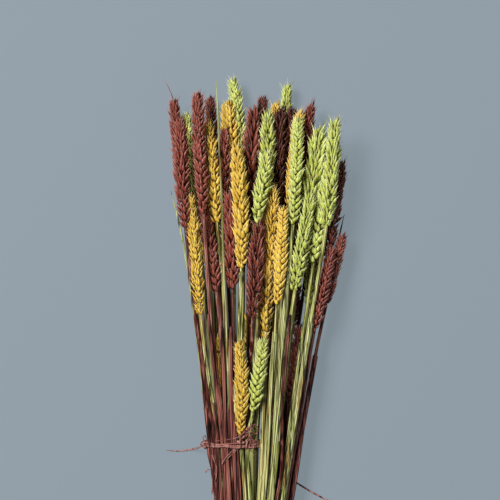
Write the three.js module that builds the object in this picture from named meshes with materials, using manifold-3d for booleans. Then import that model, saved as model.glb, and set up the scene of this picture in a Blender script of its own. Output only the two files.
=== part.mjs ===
// A bundle of dyed dried wheat, lying down: brown, yellow and green stalks with their ears at +Y and
// their cut ends at -Y, a raffia tie round the brown side and a binding round all the stems.
// Millimetres, +Z up. The bundle rests on z = 0, and the origin is the middle of its footprint.
import * as THREE from "three";
import { mergeVertices } from "three/addons/utils/BufferGeometryUtils.js";
import Module from "manifold-3d";

// ---- Driving dimensions. "Along" runs from the cut ends to the ears, "across" to the right. ----
const bundleLength = 600; // from the cut ends to the highest ear's tip
const fan = 1; // 1 spreads the ears as the list below says, and less draws them together
const stemRadiusCut = 1.95; // at the cut end
const stemRadiusNeck = 1.4; // just under the ear
const earFullness = 1; // 1 gives the ears the radii of the list below
const aimAlong = 70; // the stems point at this place on the bundle's axis
const axisAcross = 0; // the axis itself
const cutFlare = 1.25; // how much wider than at the binding the cut ends stand
const cutRaggedness = 6; // the cut ends are uneven by this much
const layerHeight = 7.5; // from one layer of ears to the next
const stemRowHeight = 3.6; // from one row of stems to the next, where they are bound

const bindingAlong = 170; // middle of the binding
const bindingWidth = 12;
const bindingThickness = 1.6;
const bindingHalfAcross = 25; // the stems are drawn into a flat oval of this size
const bindingHalfUp = 12;
const bindingKnotRadius = 4.2;
const bindingTailLength = 34;

const raffiaTieBelowTip = 297; // the raffia tie's middle, below the highest ear's tip
const raffiaTieWidth = 6;
const raffiaTieThickness = 1.2;
const raffiaTieCentre = -12; // across
const raffiaTieHalfAcross = 22;
const raffiaTieHalfUp = 12;
const raffiaTailRadius = 0.7;
const raffiaKnotRadius = 2.6;

const looseStrawBelowTip = 324; // where a broken straw comes out of the bundle's right side
const looseStrawRadius = 0.9;
const looseStrawTuck = 8; // how far its inner end lies under the bundle
const looseStrawReach = 42; // how far it lies across the table
const looseStrawDrop = 26; // and how far back towards the cut ends

const bladeRadius = 1.1; // a leaf blade, dried and rolled
const bladeEndAlong = 140; // the blades end a little below the binding

const gap = 0.7; // clear space between any two pieces
const stationStep = 10; // the stalks are settled on cross-sections this far apart
const sides = 6; // flat faces round a stalk
const straightness = 0.35; // a ring is left out where the stalk runs this straight without it

// ---- The stalks. Each ear's tip is at (across, below the highest tip), its foot is at another
// place across, and layer 0 lies on the table. ----
// colour, tip across, tip below, foot across, ear length, ear radius, layer
const stalkList = [
  ["brown", -59, 18, -54, 80, 5.4, 2],
  ["brown", -54, 36, -50, 87, 5.8, 4],
  ["brown", -39, 14, -36, 98, 6, 4],
  ["brown", -29, 16, -26, 80, 4.2, 1],
  ["brown", -32, 99, -20, 75, 4.6, 3],
  ["brown", -15, 42, -16, 72, 5, 2],
  ["brown", -18, 92, -14, 80, 6, 3],
  ["brown", 4, 23, 2, 90, 6, 2],
  ["brown", 12, 14, 10, 84, 4.8, 1],
  ["brown", 29, 25, 27, 85, 6, 2],
  ["brown", 36, 25, 33, 85, 4.2, 2],
  ["brown", 7, 115, 4, 79, 5.4, 3],
  ["brown", 76, 67, 65, 79, 4.6, 2],
  ["brown", 78, 126, 62, 60, 4.6, 2],
  ["brown", 69, 137, 53, 69, 5.5, 3],
  ["brown", 50, 21, 43, 81, 4.6, 2],
  ["brown", 44, 199, 34, 66, 4, 2],
  ["brown", 44, 158, 38, 52, 3.8, 0],
  ["brown", -47, 54, -40, 84, 4.8, 0],
  ["brown", -7, 78, -4, 80, 4.8, 0],
  ["brown", 17, 62, 15, 80, 4.8, 0],
  ["brown", 55, 82, 47, 76, 4.8, 0],
  ["yellow", -8, 57, -4, 98, 6.5, 4],
  ["yellow", -5, 210, 6, 78, 5, 4],
  ["yellow", 23, 19, 21.5, 80, 4, 1],
  ["yellow", -47, 94, -38, 98, 5, 4],
  ["yellow", -31, 38, -22.5, 81, 5.2, 3],
  ["yellow", -18.5, 19, -13.5, 80, 6.2, 1],
  ["yellow", -33, 110, -29.5, 48, 3.6, 1],
  ["yellow", -25.5, 208, -21.5, 44, 3.4, 1],
  ["yellow", 20, 90, 17, 71, 5.2, 3],
  ["yellow", 17, 134, 13.5, 78, 4.8, 2],
  ["yellow", 29, 104, 24.5, 80, 4.7, 4],
  ["yellow", 43, 27, 33.5, 78, 4.5, 2],
  ["yellow", 5.5, 182, 3, 42, 4, 1],
  ["yellow", -35, 62, -29, 80, 4.8, 0],
  ["yellow", 32, 62, 29, 80, 4.8, 0],
  ["yellow", 65, 74, 55, 80, 4.8, 0],
  ["green", 14, 211, 8, 59, 4.6, 4],
  ["green", 15, 27, 18.5, 74, 6, 3],
  ["green", 11, 60, 9.5, 60, 5.5, 4],
  ["green", 41, 34, 37.5, 87, 4.8, 4],
  ["green", 31.5, 5, 29.5, 89, 4.5, 1],
  ["green", -49, 28, -40, 83, 4.5, 1],
  ["green", -13, 0, -3, 78, 5, 1],
  ["green", 56, 40, 44, 79, 5.8, 2],
  ["green", 45.5, 62, 40, 80, 5, 1],
  ["green", 68.5, 34, 63, 88, 5.6, 4],
  ["green", 60, 67, 53, 84, 5.4, 3],
  ["green", 55, 124, 50.5, 60, 4.8, 1],
  ["green", 51, 94, 37, 79, 5.3, 4],
  ["green", -21, 70, -15, 76, 4.8, 0],
  ["green", 6, 70, 6, 76, 4.8, 0],
  ["green", 43, 74, 37, 78, 4.8, 0],
];

// The long leaf blades that stand out between the ears, given in the same way, with no ear.
// tip across, tip below, across where it bends to follow the stems, length of the free end, layer
const bladeList = [
  [-24, 3, -17, 117, 4],
  [-62, 89, -49.5, 45, 3],
  [77, 107, 71, 23, 1],
];

const pigments = {
  brown: { colour: 0x7a3a30, roughness: 0.6 },
  yellow: { colour: 0xe0b43c, roughness: 0.6 },
  green: { colour: 0xb4c464, roughness: 0.6 },
  raffia: { colour: 0x93483c, roughness: 0.55 },
  straw: { colour: 0xb9a468, roughness: 0.6 },
};

// ---- Where each stalk would run if nothing touched it ----

const stations = Math.round(bundleLength / stationStep) + 1;
const alongOf = (station) => (station * bundleLength) / (stations - 1);
const raffiaTieAlong = bundleLength - raffiaTieBelowTip;

function stalkOf([colour, tipAcross, below, footAcross, earLength, earRadius, layer], index) {
  return {
    colour,
    layer,
    tipAcross: fan * tipAcross,
    footAcross: fan * footAcross,
    tipAlong: bundleLength - below,
    footAlong: bundleLength - below - earLength,
    earRadius: earRadius * earFullness,
    cutAlong: (cutRaggedness * (1 + Math.sin(2.4 * index))) / 2,
  };
}

function bladeOf([tipAcross, below, bendAcross, freeLength, layer]) {
  return {
    colour: "green",
    layer,
    tipAcross: fan * tipAcross,
    footAcross: fan * bendAcross,
    tipAlong: bundleLength - below,
    footAlong: bundleLength - below - freeLength,
    earRadius: 0,
    cutAlong: bladeEndAlong,
  };
}

// The radius of a stalk at a place along it. An ear's outline is part of an ellipse, fullest a
// little below its middle, and a blade only thins towards its tip.
function radiusAt(plant, along) {
  if (along < plant.cutAlong || along > plant.tipAlong) return 0;
  if (!plant.earRadius) {
    const fromTip = (plant.tipAlong - along) / (plant.tipAlong - plant.footAlong);
    return bladeRadius * Math.min(1, 0.45 + 0.55 * fromTip);
  }
  const stem = THREE.MathUtils.lerp(stemRadiusCut, stemRadiusNeck, along / plant.footAlong);
  if (along <= plant.footAlong) return stem;
  const share = (along - plant.footAlong) / (plant.tipAlong - plant.footAlong);
  const fullest = 0.45;
  const halfSpan = 0.62;
  return plant.earRadius * Math.sqrt(1 - ((share - fullest) / halfSpan) ** 2);
}

// Straight from the tip to the ear's foot, on towards the aim as far as the binding, and then
// opening a little to the cut end. The corners are rounded by averaging neighbouring stations.
function freeRoute(plant) {
  const reach = (bindingAlong - aimAlong) / (plant.footAlong - aimAlong);
  const boundAcross = axisAcross + (plant.footAcross - axisAcross) * reach;
  const middle = bindingHalfUp + bindingThickness + gap;
  const boundUp = middle + (plant.layer - 2) * stemRowHeight;
  const earUp = plant.earRadius + plant.layer * layerHeight;
  let route = [];
  for (let s = 0; s < stations; s++) {
    const along = alongOf(s);
    if (along < bindingAlong) {
      const flare = THREE.MathUtils.lerp(cutFlare, 1, along / bindingAlong);
      const up = THREE.MathUtils.lerp(boundUp - middle * 0.3, boundUp, along / bindingAlong);
      route.push(new THREE.Vector2(boundAcross * flare, up));
    } else if (along < plant.footAlong) {
      const share = (along - bindingAlong) / (plant.footAlong - bindingAlong);
      const across = THREE.MathUtils.lerp(boundAcross, plant.footAcross, share);
      route.push(new THREE.Vector2(across, THREE.MathUtils.lerp(boundUp, earUp, share)));
    } else {
      const share = (along - plant.footAlong) / (plant.tipAlong - plant.footAlong);
      const across = THREE.MathUtils.lerp(plant.footAcross, plant.tipAcross, share);
      route.push(new THREE.Vector2(across, earUp));
    }
  }
  const rounds = 12;
  for (let n = 0; n < rounds; n++)
    route = route.map((p, s) => {
      if (s === 0 || s === stations - 1) return p;
      return p.clone().add(route[s - 1]).add(route[s + 1]).divideScalar(3);
    });
  return route;
}

// ---- Settling: the stalks push each other apart, rest on the table and stay in their ties ----

const ties = [
  {
    along: bindingAlong,
    halfWidth: bindingWidth / 2,
    thickness: bindingThickness,
    centre: axisAcross,
    halfAcross: bindingHalfAcross,
    halfUp: bindingHalfUp,
    holds: () => true,
  },
  {
    along: raffiaTieAlong,
    halfWidth: raffiaTieWidth / 2,
    thickness: raffiaTieThickness,
    centre: raffiaTieCentre,
    halfAcross: raffiaTieHalfAcross,
    halfUp: raffiaTieHalfUp,
    holds: (across) => across < raffiaTieCentre + raffiaTieHalfAcross,
  },
];

// Half a tie's width and a station on either side, so that its whole band has room.
const tieReach = (tie) => tie.halfWidth + stationStep;

function settle(plants) {
  const rounds = 700;
  const lastRounds = 400;
  const close = 0.03; // the stalks are settled once nothing moves further than this
  for (const plant of plants) {
    plant.free = freeRoute(plant);
    plant.route = plant.free.map((p) => p.clone());
    plant.room = plant.free.map((_, s) => roomFor(plant, alongOf(s)));
  }
  const station = (tie) => Math.round((tie.along / bundleLength) * (stations - 1));
  for (const tie of ties)
    tie.members = new Set(plants.filter((p) => tie.holds(p.free[station(tie)].x)));
  for (let n = 0; n < rounds; n++) {
    for (const plant of plants) {
      plant.route.forEach((p, s) => p.lerp(plant.free[s], 0.03));
      smoothShift(plant, 0.5);
    }
    pushAll(plants);
  }
  for (let n = 0; n < lastRounds; n++) {
    for (const plant of plants) smoothShift(plant, 0.1 * (1 - n / lastRounds) ** 2);
    if (pushAll(plants) < close) break;
  }
}

// The radius a stalk needs at a station: its greatest up to the next station on either side.
function roomFor(plant, along) {
  const nearby = [-0.9, -0.45, 0, 0.45, 0.9].map((steps) => along + steps * stationStep);
  return Math.max(...nearby.map((place) => radiusAt(plant, place)));
}

// Returns how far the stalk that was moved most was pushed out of another.
function pushAll(plants) {
  let furthest = 0;
  for (let s = 0; s < stations; s++) {
    const present = plants.filter((plant) => plant.room[s] > 0);
    furthest = Math.max(furthest, pushApart(present, s, s));
    if (s < stations - 1) furthest = Math.max(furthest, pushApart(present, s, s + 1));
    for (const tie of ties)
      if (Math.abs(alongOf(s) - tie.along) < tieReach(tie)) drawIn(tie, present, s);
    for (const plant of present)
      plant.route[s].y = Math.max(plant.route[s].y, tableHeight(s) + plant.room[s]);
  }
  return furthest;
}

// Under a tie the stems lie on its strands, and elsewhere on the table.
function tableHeight(s) {
  const over = ties.filter((tie) => Math.abs(alongOf(s) - tie.along) < tieReach(tie));
  return Math.max(0, ...over.map((tie) => tie.thickness + gap));
}

// A stalk is stiff, so what moves one station off the free route moves its neighbours too.
function smoothShift(plant, stiffness) {
  const shift = plant.route.map((p, s) => p.clone().sub(plant.free[s]));
  for (let s = 0; s < stations; s++) {
    const before = shift[Math.max(0, s - 1)];
    const after = shift[Math.min(stations - 1, s + 1)];
    const even = before.clone().add(after).divideScalar(2);
    plant.route[s].add(even.sub(shift[s]).multiplyScalar(stiffness));
  }
}

// Pushes the stalks apart at one station, or half way between two, where both stations move.
function pushApart(present, s, t) {
  let furthest = 0;
  for (let i = 0; i < present.length; i++)
    for (let j = i + 1; j < present.length; j++) {
      const a = present[i];
      const b = present[j];
      if (!a.room[t] || !b.room[t]) continue;
      const apart = (a.room[s] + a.room[t] + b.room[s] + b.room[t]) / 2 + gap;
      const dx = (b.route[s].x + b.route[t].x - a.route[s].x - a.route[t].x) / 2;
      const dy = (b.route[s].y + b.route[t].y - a.route[s].y - a.route[t].y) / 2;
      if (dx * dx + dy * dy >= apart * apart) continue;
      const distance = Math.max(Math.hypot(dx, dy), 1e-3);
      furthest = Math.max(furthest, apart - distance);
      const push = (apart - distance) / 2 / distance;
      // Two stalks whose middles nearly meet pass over each other by their layers.
      const lift = distance < apart / 2 ? 0.1 * Math.sign(b.layer - a.layer) : 0;
      for (const station of s === t ? [s] : [s, t]) {
        a.route[station].x -= dx * push;
        b.route[station].x += dx * push;
        a.route[station].y -= dy * push + lift;
        b.route[station].y += dy * push + lift;
      }
    }
  return furthest;
}

// The tie's own stems stay inside its oval, and all others outside it. The oval is the flat one
// of a bundle that lies down: its x and y, each to the power of four, add up to one.
function drawIn(tie, present, s) {
  const centreUp = tie.halfUp + tie.thickness + gap;
  for (const plant of present) {
    const held = tie.members.has(plant);
    const radius = radiusAt(plant, alongOf(s));
    const margin = held ? -radius : tie.thickness + 2 * gap + plant.room[s];
    const p = plant.route[s];
    const x = (p.x - tie.centre) / (tie.halfAcross + margin);
    const y = (p.y - centreUp) / (tie.halfUp + margin);
    const out = Math.max((x ** 4 + y ** 4) ** 0.25, 1e-3);
    if (held === out <= 1) continue;
    p.x = tie.centre + (p.x - tie.centre) / out;
    p.y = centreUp + (p.y - centreUp) / out;
  }
}

// ---- Solids ----

function material({ colour, roughness }) {
  return new THREE.MeshStandardMaterial({ color: colour, roughness, metalness: 0 });
}

function placeAt(plant, along) {
  const at = THREE.MathUtils.clamp((along / bundleLength) * (stations - 1), 0, stations - 1);
  const s = Math.min(Math.floor(at), stations - 2);
  return plant.route[s].clone().lerp(plant.route[s + 1], at - s);
}

// The rings of one stalk: its cut end, every station, the ear's foot and shoulder, and its tip.
function ringsOf(plant) {
  const end = 0.2; // the last ring stands this far short of the tip
  const places = [plant.cutAlong, plant.tipAlong - end];
  if (plant.earRadius) places.push(plant.footAlong, plant.footAlong + plant.earRadius / 2);
  const near = (along) => places.some((place) => Math.abs(place - along) < stationStep / 3);
  for (let s = 0; s < stations; s++) {
    const along = alongOf(s);
    if (along > plant.cutAlong && along < plant.tipAlong && !near(along)) places.push(along);
  }
  return places
    .sort((a, b) => a - b)
    .map((along) => ({ along, at: placeAt(plant, along), radius: radiusAt(plant, along) }));
}

// Leaves out the rings that the straight line between two others already passes through.
function withoutStraights(rings) {
  const first = rings[0];
  const last = rings[rings.length - 1];
  let worst = 0;
  let split = 0;
  rings.forEach((ring, i) => {
    const share = (ring.along - first.along) / (last.along - first.along);
    const line = first.at.clone().lerp(last.at, share);
    const radius = THREE.MathUtils.lerp(first.radius, last.radius, share);
    const off = line.distanceTo(ring.at) + Math.abs(radius - ring.radius) / 2;
    if (off > worst) {
      worst = off;
      split = i;
    }
  });
  if (worst <= straightness || rings.length < 3) return [first, last];
  const before = withoutStraights(rings.slice(0, split + 1));
  return [...before.slice(0, -1), ...withoutStraights(rings.slice(split))];
}

// A stalk is turned on a lathe and then bent: each ring slides in its own plane to the place
// where the settled stalk passes through that plane.
function stalkGeometry(plant) {
  const rings = withoutStraights(ringsOf(plant));
  const outline = rings.map((ring, i) => new THREE.Vector2(ring.radius, i));
  const profile = [new THREE.Vector2(0, 0), ...outline, new THREE.Vector2(0, rings.length - 1)];
  const geometry = new THREE.LatheGeometry(profile, sides);
  const points = geometry.getAttribute("position");
  for (let i = 0; i < points.count; i++) {
    const ring = rings[Math.round(points.getY(i))];
    points.setXYZ(i, ring.at.x + points.getX(i), ring.along, ring.at.y + points.getZ(i));
  }
  return geometry;
}

const wasm = await Module();
wasm.setup();

function solidOf(geometry) {
  const bare = geometry.clone();
  bare.deleteAttribute("normal");
  bare.deleteAttribute("uv");
  const merged = mergeVertices(bare, 1e-4);
  const mesh = new wasm.Mesh({
    numProp: 3,
    vertProperties: merged.getAttribute("position").array,
    triVerts: new Uint32Array(merged.index.array),
  });
  return new wasm.Manifold(mesh);
}

function geometryOf(solid) {
  const mesh = solid.getMesh();
  return new THREE.BufferGeometry()
    .setAttribute("position", new THREE.BufferAttribute(mesh.vertProperties, 3))
    .setIndex(new THREE.BufferAttribute(mesh.triVerts, 1));
}

// The taut line round all the stems that a tie holds, at a given distance from them: the hull of
// a twelve-sided ring round each stem, with a flat side down.
function lineRound(tie, plants, away) {
  const corners = 12;
  const points = [];
  for (const along of [tie.along - tie.halfWidth, tie.along, tie.along + tie.halfWidth])
    for (const plant of plants) {
      const radius = radiusAt(plant, along);
      if (!tie.members.has(plant) || !radius) continue;
      const reach = (radius + away) / Math.cos(Math.PI / corners);
      for (let i = 0; i < corners; i++) {
        const angle = (2 * Math.PI * (i + 0.5)) / corners;
        const out = new THREE.Vector2(Math.cos(angle), Math.sin(angle));
        points.push(out.multiplyScalar(reach).add(placeAt(plant, along)));
      }
    }
  points.sort((p, q) => p.x - q.x || p.y - q.y);
  return [...halfOfHull(points), ...halfOfHull(points.reverse())];
}

// Walks along points in order of x and keeps those that turn left, without the last.
function halfOfHull(points) {
  const shortest = 0.3; // corners closer than this become one
  const turn = (a, b, c) => b.clone().sub(a).cross(c.clone().sub(b));
  const line = [];
  for (const point of points) {
    while (line.length > 1 && turn(line.at(-2), line.at(-1), point) <= 0) line.pop();
    line.push(point);
  }
  return line.slice(0, -1).filter((p, i) => !i || p.distanceTo(line[i - 1]) > shortest);
}

function band(tie, plants) {
  const shape = new THREE.Shape(lineRound(tie, plants, gap + tie.thickness));
  shape.holes.push(new THREE.Path(lineRound(tie, plants, gap)));
  const options = { depth: 2 * tie.halfWidth, bevelEnabled: false };
  const geometry = new THREE.ExtrudeGeometry(shape, options);
  return geometry.rotateX(Math.PI / 2).translate(0, tie.along + tie.halfWidth, 0);
}

function strand(points, radius, steps) {
  const section = new THREE.Shape();
  section.absarc(0, 0, radius, 0, 2 * Math.PI);
  const extrudePath = new THREE.CatmullRomCurve3(points);
  const options = { steps, extrudePath, bevelEnabled: false, curveSegments: 4 };
  return new THREE.ExtrudeGeometry(section, options);
}

function knot(at, radius) {
  return new THREE.SphereGeometry(radius, 8, 6).translate(at.x, at.y, at.z);
}

function furthestOf(line, along, towards) {
  const best = line.reduce((a, b) => (b.dot(towards) > a.dot(towards) ? b : a));
  return new THREE.Vector3(best.x, along, best.y);
}

// The raffia tie's band, its knot at the left and the stiff end that lies out over the table.
function raffiaTieGeometry(plants) {
  const tie = ties[1];
  const left = furthestOf(lineRound(tie, plants, gap), tie.along, new THREE.Vector2(-1, 0));
  left.x -= raffiaKnotRadius;
  const down = left.z - raffiaTailRadius - 0.1; // the end comes to rest on the table
  const ends = [[0, 0, 0], [-8, -5, -0.45], [-19, -8, -0.85], [-32, -7, -1]].map(
    ([x, y, z]) => new THREE.Vector3(left.x + x, left.y + y, left.z + z * down),
  );
  const joined = solidOf(band(tie, plants)).add(solidOf(knot(left, raffiaKnotRadius)));
  return geometryOf(joined.add(solidOf(strand(ends, raffiaTailRadius, 8))));
}

// The binding's band, with its knot on top and two short ends.
function bindingGeometry(plants) {
  const tie = ties[0];
  const top = furthestOf(lineRound(tie, plants, gap), tie.along, new THREE.Vector2(0, 1));
  top.z += bindingKnotRadius;
  const third = bindingTailLength / 3;
  let joined = solidOf(band(tie, plants)).add(solidOf(knot(top, bindingKnotRadius)));
  for (const side of [-1, 1]) {
    const end = [
      top,
      new THREE.Vector3(top.x + side * third, top.y - 3, top.z + 1),
      new THREE.Vector3(top.x + side * 2 * third, top.y - 8, top.z - 1),
      new THREE.Vector3(top.x + side * 2.8 * third, top.y - 15, top.z - 5),
    ];
    joined = joined.add(solidOf(strand(end, bindingThickness / 2, 6)));
  }
  return geometryOf(joined);
}

// A broken straw lying on the table, with its inner end tucked under the stems at the right,
// or against them where they lie too low.
function looseStrawGeometry(plants) {
  const along = bundleLength - looseStrawBelowTip;
  const rightSide = (plant) => placeAt(plant, along).x + radiusAt(plant, along);
  const clearOf = (plant) => {
    const at = placeAt(plant, along);
    const apart = radiusAt(plant, along) + gap + looseStrawRadius;
    const height = at.y - looseStrawRadius;
    return height < apart ? at.x + Math.sqrt(apart ** 2 - height ** 2) : -Infinity;
  };
  const tucked = Math.max(...plants.map(rightSide)) - looseStrawTuck;
  const start = Math.max(tucked, ...plants.map(clearOf));
  const points = [0, 0.35, 0.7, 1].map((share) => {
    const sag = 1.5 * Math.sin(Math.PI * share);
    const x = start + looseStrawReach * share;
    return new THREE.Vector3(x, along - looseStrawDrop * share - sag, looseStrawRadius);
  });
  return strand(points, looseStrawRadius, 6);
}

// ---- The bundle ----

const stalks = stalkList.map(stalkOf);
const blades = bladeList.map(bladeOf);
const plants = [...stalks, ...blades];
settle(plants);

const bundle = new THREE.Group();

function addPiece(name, geometry, pigment) {
  const mesh = new THREE.Mesh(geometry, material(pigments[pigment]));
  mesh.name = name;
  bundle.add(mesh);
}

const counts = {};
for (const stalk of stalks) {
  counts[stalk.colour] = (counts[stalk.colour] ?? 0) + 1;
  const number = String(counts[stalk.colour]).padStart(2, "0");
  addPiece(`${stalk.colour}_stalk_${number}`, stalkGeometry(stalk), stalk.colour);
}
blades.forEach((blade, i) => addPiece(`leaf_blade_${i + 1}`, stalkGeometry(blade), blade.colour));
addPiece("raffia_tie", raffiaTieGeometry(plants), "raffia");
addPiece("stem_binding", bindingGeometry(plants), "straw");
addPiece("loose_straw", looseStrawGeometry(plants), "raffia");

// The origin is the middle of the bundle's footprint on the table.
const box = new THREE.Box3().setFromObject(bundle);
const middle = box.getCenter(new THREE.Vector3());
bundle.position.set(-middle.x, -middle.y, -box.min.z);

export default bundle;
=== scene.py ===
import math

import bpy
import numpy as np
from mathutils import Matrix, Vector


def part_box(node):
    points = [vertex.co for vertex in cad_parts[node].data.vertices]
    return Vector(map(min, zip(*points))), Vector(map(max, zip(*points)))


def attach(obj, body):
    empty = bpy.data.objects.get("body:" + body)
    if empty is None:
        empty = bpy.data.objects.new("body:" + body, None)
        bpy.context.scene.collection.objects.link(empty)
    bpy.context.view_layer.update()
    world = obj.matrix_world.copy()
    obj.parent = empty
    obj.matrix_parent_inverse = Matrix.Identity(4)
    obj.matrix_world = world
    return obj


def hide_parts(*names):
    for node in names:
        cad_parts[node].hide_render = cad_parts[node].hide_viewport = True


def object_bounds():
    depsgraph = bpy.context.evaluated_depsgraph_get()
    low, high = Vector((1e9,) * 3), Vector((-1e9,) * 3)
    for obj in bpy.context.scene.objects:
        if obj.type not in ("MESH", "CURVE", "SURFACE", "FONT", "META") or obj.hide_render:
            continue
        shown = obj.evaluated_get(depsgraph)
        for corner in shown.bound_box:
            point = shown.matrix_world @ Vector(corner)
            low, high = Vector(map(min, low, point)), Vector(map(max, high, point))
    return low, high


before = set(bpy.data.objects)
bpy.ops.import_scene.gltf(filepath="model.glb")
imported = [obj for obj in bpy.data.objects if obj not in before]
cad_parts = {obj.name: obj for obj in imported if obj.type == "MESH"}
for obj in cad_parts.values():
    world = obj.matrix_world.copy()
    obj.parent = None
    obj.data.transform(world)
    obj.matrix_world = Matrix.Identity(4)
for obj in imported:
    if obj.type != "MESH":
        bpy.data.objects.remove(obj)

cad_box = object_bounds()


# ---- Brown stalks ----
# Each is one plant grown in one piece: a hollow straw with a few swollen nodes, the leaf sheaths
# that wrap it, and an ear of overlapping husks. Cut ripe, dried, and dyed burgundy brown in a bath.
# The husks' keels carry a painted highlight, and the hollows and furrows painted shade.

MM = 0.001
STEP = 2 * MM  # the stalk's middle line is worked out this finely
SMOOTHING = 9  # and smoothed over this many steps each way
HUSKS_APART = 2.8 * MM  # from one spikelet to the next, on the other side of the ear
TOP_SPIKELET = 7.3 * MM  # how far below the tip the last spikelet of a full ear starts
HUSK_SIDES = 8
CRINKLE = 0.09  # how unevenly a husk dried, for its width
AWN_LEAN = 0.25  # how far outwards a husk's point leans, for its length
MISSING, GAPING = 0.04, 0.93  # by chance: husks below the first dropped off, above the other gape
GAPE = 14  # degrees
SHEATHED = 1.25  # how much wider a straw is in its sheath
NODE_SWELL, NODE_LENGTH = 0.2, 1.6 * MM  # the knots of the straw
SHEATH_OVERLAP = 6 * MM
STRAW_SECTION, RIBBON_SECTION = 7 * MM, 5 * MM  # from one ring of points to the next
LEAF_THICKNESS = 0.35 * MM

# A husk's outline from its foot to its point: place, half width, depth outwards, depth inwards,
# and how far it has bowed outwards.
HUSK_OUTLINE = np.array(
    [
        (0.00, 0.30, 0.30, 0.20, 0.00),
        (0.10, 0.72, 0.74, 0.32, 0.20),
        (0.26, 1.00, 1.00, 0.40, 0.40),
        (0.46, 0.96, 0.94, 0.38, 0.46),
        (0.66, 0.70, 0.66, 0.28, 0.42),
        (0.83, 0.36, 0.34, 0.16, 0.46),
        (0.95, 0.12, 0.13, 0.08, 0.66),
    ]
)

# The seven husks of one spikelet: foot along the ear, outwards and to the side, the lean outwards
# and to the side in degrees, then length, half width and depth, and how far it faces sideways.
SPIKELET = [
    (0.0, 1.2, 2.3, 13, 24, 8.0, 1.72, 1.6, 2.6),
    (0.0, 1.2, -2.3, 13, -24, 8.0, 1.72, 1.6, 2.6),
    (0.8, 2.0, 1.6, 23, 19, 10.0, 1.55, 1.5, 1.2),
    (0.8, 2.0, -1.6, 23, -19, 10.0, 1.55, 1.5, 1.2),
    (3.0, 2.5, 0.8, 29, 9, 9.6, 1.2, 1.3, 0.5),
    (3.0, 2.5, -0.8, 29, -9, 9.6, 1.2, 1.3, 0.5),
    (5.6, 2.2, 0.0, 27, 0, 8.4, 1.0, 1.1, 0.0),
]
SIZE_ALONG_EAR = ([0, 0.1, 0.3, 0.65, 0.88, 1], [0.68, 0.9, 1, 0.94, 0.76, 0.66])
FULL_EAR = 6.2 * MM  # the radius of an ear whose spikelets have just those sizes


def middle_line(name):
    """The stalk's middle line and radius, from the rings of its solid, and where its ear starts."""
    points = np.array([v.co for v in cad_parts[name].data.vertices])
    rings = {}
    for p in points:
        rings.setdefault(round(p[1], 5), []).append(p)
    along = np.array(sorted(rings))
    centre = np.array([np.mean(np.unique(np.round(rings[y], 6), axis=0), axis=0) for y in along])
    radius = np.array(
        [np.max(np.linalg.norm(np.array(rings[y]) - c, axis=1)) for y, c in zip(along, centre)]
    )
    jump = int(np.argmax(np.diff(radius)))  # the ear starts where the solid widens most
    foot = along[jump] if radius[jump + 1] > 1.5 * radius[jump] else along[-1]
    y = np.arange(along[0], along[-1], STEP)
    weights = np.hanning(2 * SMOOTHING + 1)
    weights /= weights.sum()
    smoothed = []
    for axis in (0, 2):
        values = np.interp(y, along, centre[:, axis])
        before = 2 * values[0] - values[1 : SMOOTHING + 1][::-1]
        after = 2 * values[-1] - values[-SMOOTHING - 1 : -1][::-1]
        smoothed.append(np.convolve(np.concatenate([before, values, after]), weights, "valid"))
    x, z = smoothed
    return {
        "name": name,
        "y": y,
        "points": np.stack([x, y, z], axis=1),
        "foot": foot,
        "stem": np.interp(y, along[along <= foot], radius[along <= foot]),
        "ear": radius.max(),
    }


def at(line, y):
    """The point of a middle line at y, its direction, and the two directions square to that."""
    behind, p, ahead = (
        np.array([np.interp(place, line["y"], line["points"][:, i]) for i in range(3)])
        for place in (y - 3 * MM, y, y + 3 * MM)
    )
    t = (ahead - behind) / np.linalg.norm(ahead - behind)
    up = np.array([0, 0, 1]) - t[2] * t
    up /= np.linalg.norm(up)
    return p, t, up, np.cross(t, up)


lines = {name: middle_line(name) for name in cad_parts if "_stalk_" in name}

# Where an ear hangs a little off the line of its solid: how far along the bundle, and how far
# aside and up there, in millimetres.
for name, bends in {
    "brown_stalk_01": [(20, 0, 0), (120, 2.0, 0), (202, 2.5, 0), (280, 0.4, 0)],
    "brown_stalk_02": [(0, 0, 0), (95, 2.0, 0), (177, 4.4, 0), (263, 2.6, 0)],
    "brown_stalk_08": [(120, 0, 0), (190, 1.2, 0), (276, 4.2, 1)],
    "brown_stalk_09": [(150, 0, 0), (284, 2.0, 0)],
    "brown_stalk_12": [(60, 0, 0), (96, 1.2, 9), (145, 2.4, 9.6), (185, 3.0, 9)],
    "brown_stalk_13": [(80, 0, 0), (231, 1.6, 0)],
    "brown_stalk_16": [(150, 0, 0), (278, 2.6, 0)],
    "yellow_stalk_03": [(150, 0, 0), (279, 3.0, 0)],
    "yellow_stalk_06": [(110, 0, 0), (200, 2.0, 4), (280, 4.2, 6)],
    "yellow_stalk_10": [(20, 0, 0), (88, 0.6, 8), (160, 0.6, 9)],
    "yellow_stalk_12": [(150, 0, 0), (271, 2.0, 0)],
    "green_stalk_02": [(130, 0, 0), (199, 2.2, 0), (235, 3.4, 0), (270, 3.2, 0)],
    "green_stalk_03": [(188, 0, 0), (201, 1.2, 0), (213, 3.4, 0), (226, 5.2, 0), (236, 5.8, 0)],
    "green_stalk_05": [(150, 0, 0), (294, 2.8, 0)],
    "green_stalk_08": [(120, 0, 0), (260, 1.4, 2)],
    "green_stalk_10": [(100, 0, 0), (264, 1.6, 0)],
}.items():
    places, asides, rises = zip(*bends)
    line = lines[name]
    line["points"][:, 0] += MM * np.interp(line["y"] / MM, places, asides)
    line["points"][:, 2] += MM * np.interp(line["y"] / MM, places, rises)


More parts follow.
